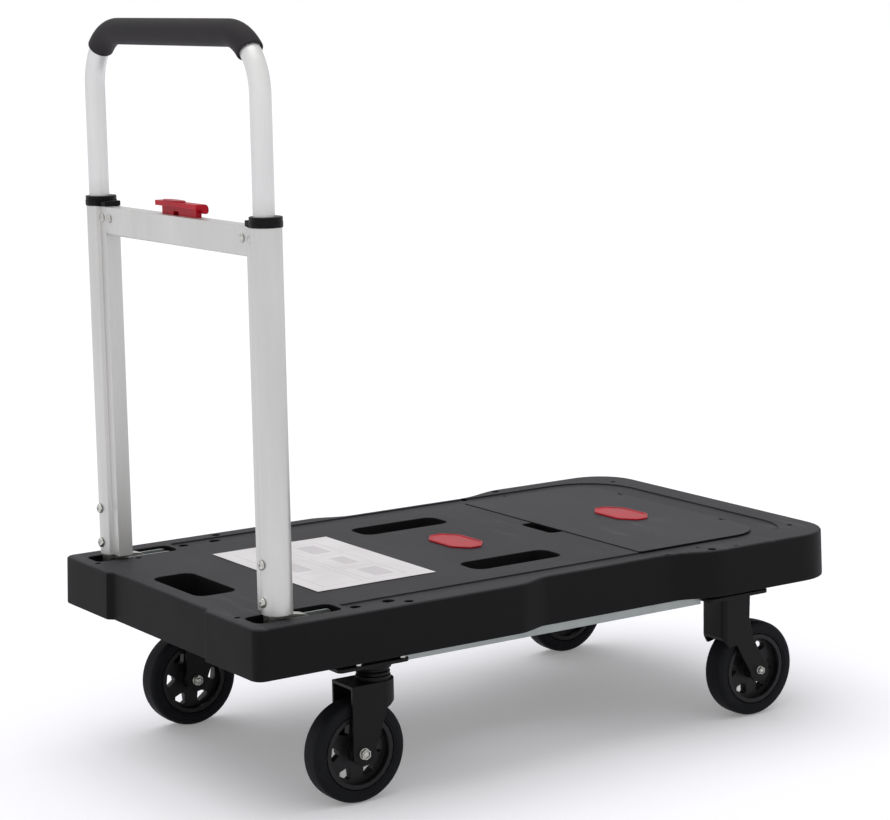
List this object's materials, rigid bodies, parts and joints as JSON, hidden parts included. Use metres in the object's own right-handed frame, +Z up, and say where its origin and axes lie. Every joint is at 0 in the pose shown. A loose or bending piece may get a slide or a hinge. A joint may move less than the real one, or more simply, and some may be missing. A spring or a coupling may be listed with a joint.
{
  "type": "folding platform cart",
  "caption": "Folding platform cart: moulded deck with hinged tray lid, fold-down telescoping handle, swivel rear and fixed front casters.",
  "frame": {"origin": "floor level under the middle of the bounding box, between the wheels", "axes": "+X forward, away from the handle; +Y to the left; +Z up"},
  "size_m": [0.878, 0.503, 0.916],
  "materials": {
    "deck_plastic": "fine moulded grain",
    "lid_plastic": "fine moulded grain",
    "collar_plastic": "satin",
    "red_plastic": "semi-gloss",
    "label_paper": "matt",
    "galvanised_steel": "satin",
    "black_steel": "semi-gloss black",
    "zinc_steel": "bright zinc",
    "bush_steel": "satin",
    "aluminium": "satin anodised",
    "tyre_rubber": "matt",
    "hub_plastic": "satin",
    "grip_rubber": "soft matt"
  },
  "bodies": {
    "chassis": {"deck_shell": "deck_plastic", "lid_hinge_rod": "zinc_steel", "rear_badge": "red_plastic", "instruction_sheet": "label_paper", "side_rail_left": "galvanised_steel", "side_rail_right": "galvanised_steel", "cross_rail_rear": "galvanised_steel", "cross_rail_front": "galvanised_steel", "hinge_bracket_left": "galvanised_steel", "hinge_pin_left": "zinc_steel", "swivel_plate_left": "black_steel", "swivel_race_left": "black_steel", "kingpin_left": "zinc_steel", "fixed_fork_left": "black_steel", "axle_bolt_front_left": "zinc_steel", "hinge_bracket_right": "galvanised_steel", "hinge_pin_right": "zinc_steel", "swivel_plate_right": "black_steel", "swivel_race_right": "black_steel", "kingpin_right": "zinc_steel", "fixed_fork_right": "black_steel", "axle_bolt_front_right": "zinc_steel"},
    "lid": {"front_lid": "lid_plastic", "front_badge": "red_plastic"},
    "handle": {"crossbar": "aluminium", "button_spring": "zinc_steel", "leg_tongue_left": "zinc_steel", "leg_left": "aluminium", "collar_left": "collar_plastic", "crossbar_bracket_left": "zinc_steel", "leg_screw_low_left": "zinc_steel", "leg_screw_high_left": "zinc_steel", "leg_tongue_right": "zinc_steel", "leg_right": "aluminium", "collar_right": "collar_plastic", "crossbar_bracket_right": "zinc_steel", "leg_screw_low_right": "zinc_steel", "leg_screw_high_right": "zinc_steel"},
    "button": {"release_button": "red_plastic"},
    "lock_left": {"lock_pin_left": "zinc_steel"},
    "lock_right": {"lock_pin_right": "zinc_steel"},
    "upper_handle": {"upper_tube": "aluminium", "grip": "grip_rubber"},
    "swivel_left": {"swivel_fork_left": "black_steel", "axle_bolt_rear_left": "zinc_steel"},
    "swivel_right": {"swivel_fork_right": "black_steel", "axle_bolt_rear_right": "zinc_steel"},
    "wheel_rear_left": {"tyre_rear_left": "tyre_rubber", "hub_rear_left": "hub_plastic", "axle_bush_rear_left": "bush_steel"},
    "wheel_rear_right": {"tyre_rear_right": "tyre_rubber", "hub_rear_right": "hub_plastic", "axle_bush_rear_right": "bush_steel"},
    "wheel_front_left": {"tyre_front_left": "tyre_rubber", "hub_front_left": "hub_plastic", "axle_bush_front_left": "bush_steel"},
    "wheel_front_right": {"tyre_front_right": "tyre_rubber", "hub_front_right": "hub_plastic", "axle_bush_front_right": "bush_steel"}
  },
  "joints": [
    {"name": "handle_fold", "type": "hinge", "parent": "chassis", "child": "handle", "pos_m": [-0.355, 0, 0.2284], "axis": [0, 1, 0], "range_deg": [0, 90]},
    {"name": "handle_telescope", "type": "slide", "parent": "handle", "child": "upper_handle", "axis": [0, 0, 1], "range_m": [-0.135, 0]},
    {"name": "button_press", "type": "slide", "parent": "handle", "child": "button", "axis": [0, 0, -1], "range_m": [0, 0.0035], "stiffness_N_per_m": 1000, "springref_m": -0.003, "deforming": ["button_spring"]},
    {"name": "lock_left_retract", "type": "slide", "parent": "handle", "child": "lock_left", "axis": [0, -1, 0], "range_m": [0, 0.0035]},
    {"name": "lock_right_retract", "type": "slide", "parent": "handle", "child": "lock_right", "axis": [0, 1, 0], "range_m": [0, 0.0035]},
    {"name": "lid_open", "type": "hinge", "parent": "chassis", "child": "lid", "pos_m": [0.3556, 0, 0.2374], "axis": [0, 1, 0], "range_deg": [0, 100]},
    {"name": "swivel_left_turn", "type": "hinge", "parent": "chassis", "child": "swivel_left", "pos_m": [-0.258, 0.204, 0.1], "axis": [0, 0, 1], "continuous": true},
    {"name": "swivel_right_turn", "type": "hinge", "parent": "chassis", "child": "swivel_right", "pos_m": [-0.258, -0.204, 0.1], "axis": [0, 0, 1], "continuous": true},
    {"name": "wheel_rear_left_spin", "type": "hinge", "parent": "swivel_left", "child": "wheel_rear_left", "pos_m": [-0.2866, 0.204, 0.0625], "axis": [0, 1, 0], "continuous": true},
    {"name": "wheel_front_left_spin", "type": "hinge", "parent": "chassis", "child": "wheel_front_left", "pos_m": [0.32, 0.204, 0.0625], "axis": [0, 1, 0], "continuous": true},
    {"name": "wheel_rear_right_spin", "type": "hinge", "parent": "swivel_right", "child": "wheel_rear_right", "pos_m": [-0.2866, -0.204, 0.0625], "axis": [0, 1, 0], "continuous": true},
    {"name": "wheel_front_right_spin", "type": "hinge", "parent": "chassis", "child": "wheel_front_right", "pos_m": [0.32, -0.204, 0.0625], "axis": [0, 1, 0], "continuous": true}
  ],
  "couplings": [
    {"joint": "lock_left_retract", "follows": "button_press", "ratio": 1},
    {"joint": "lock_right_retract", "follows": "button_press", "ratio": 1}
  ]
}
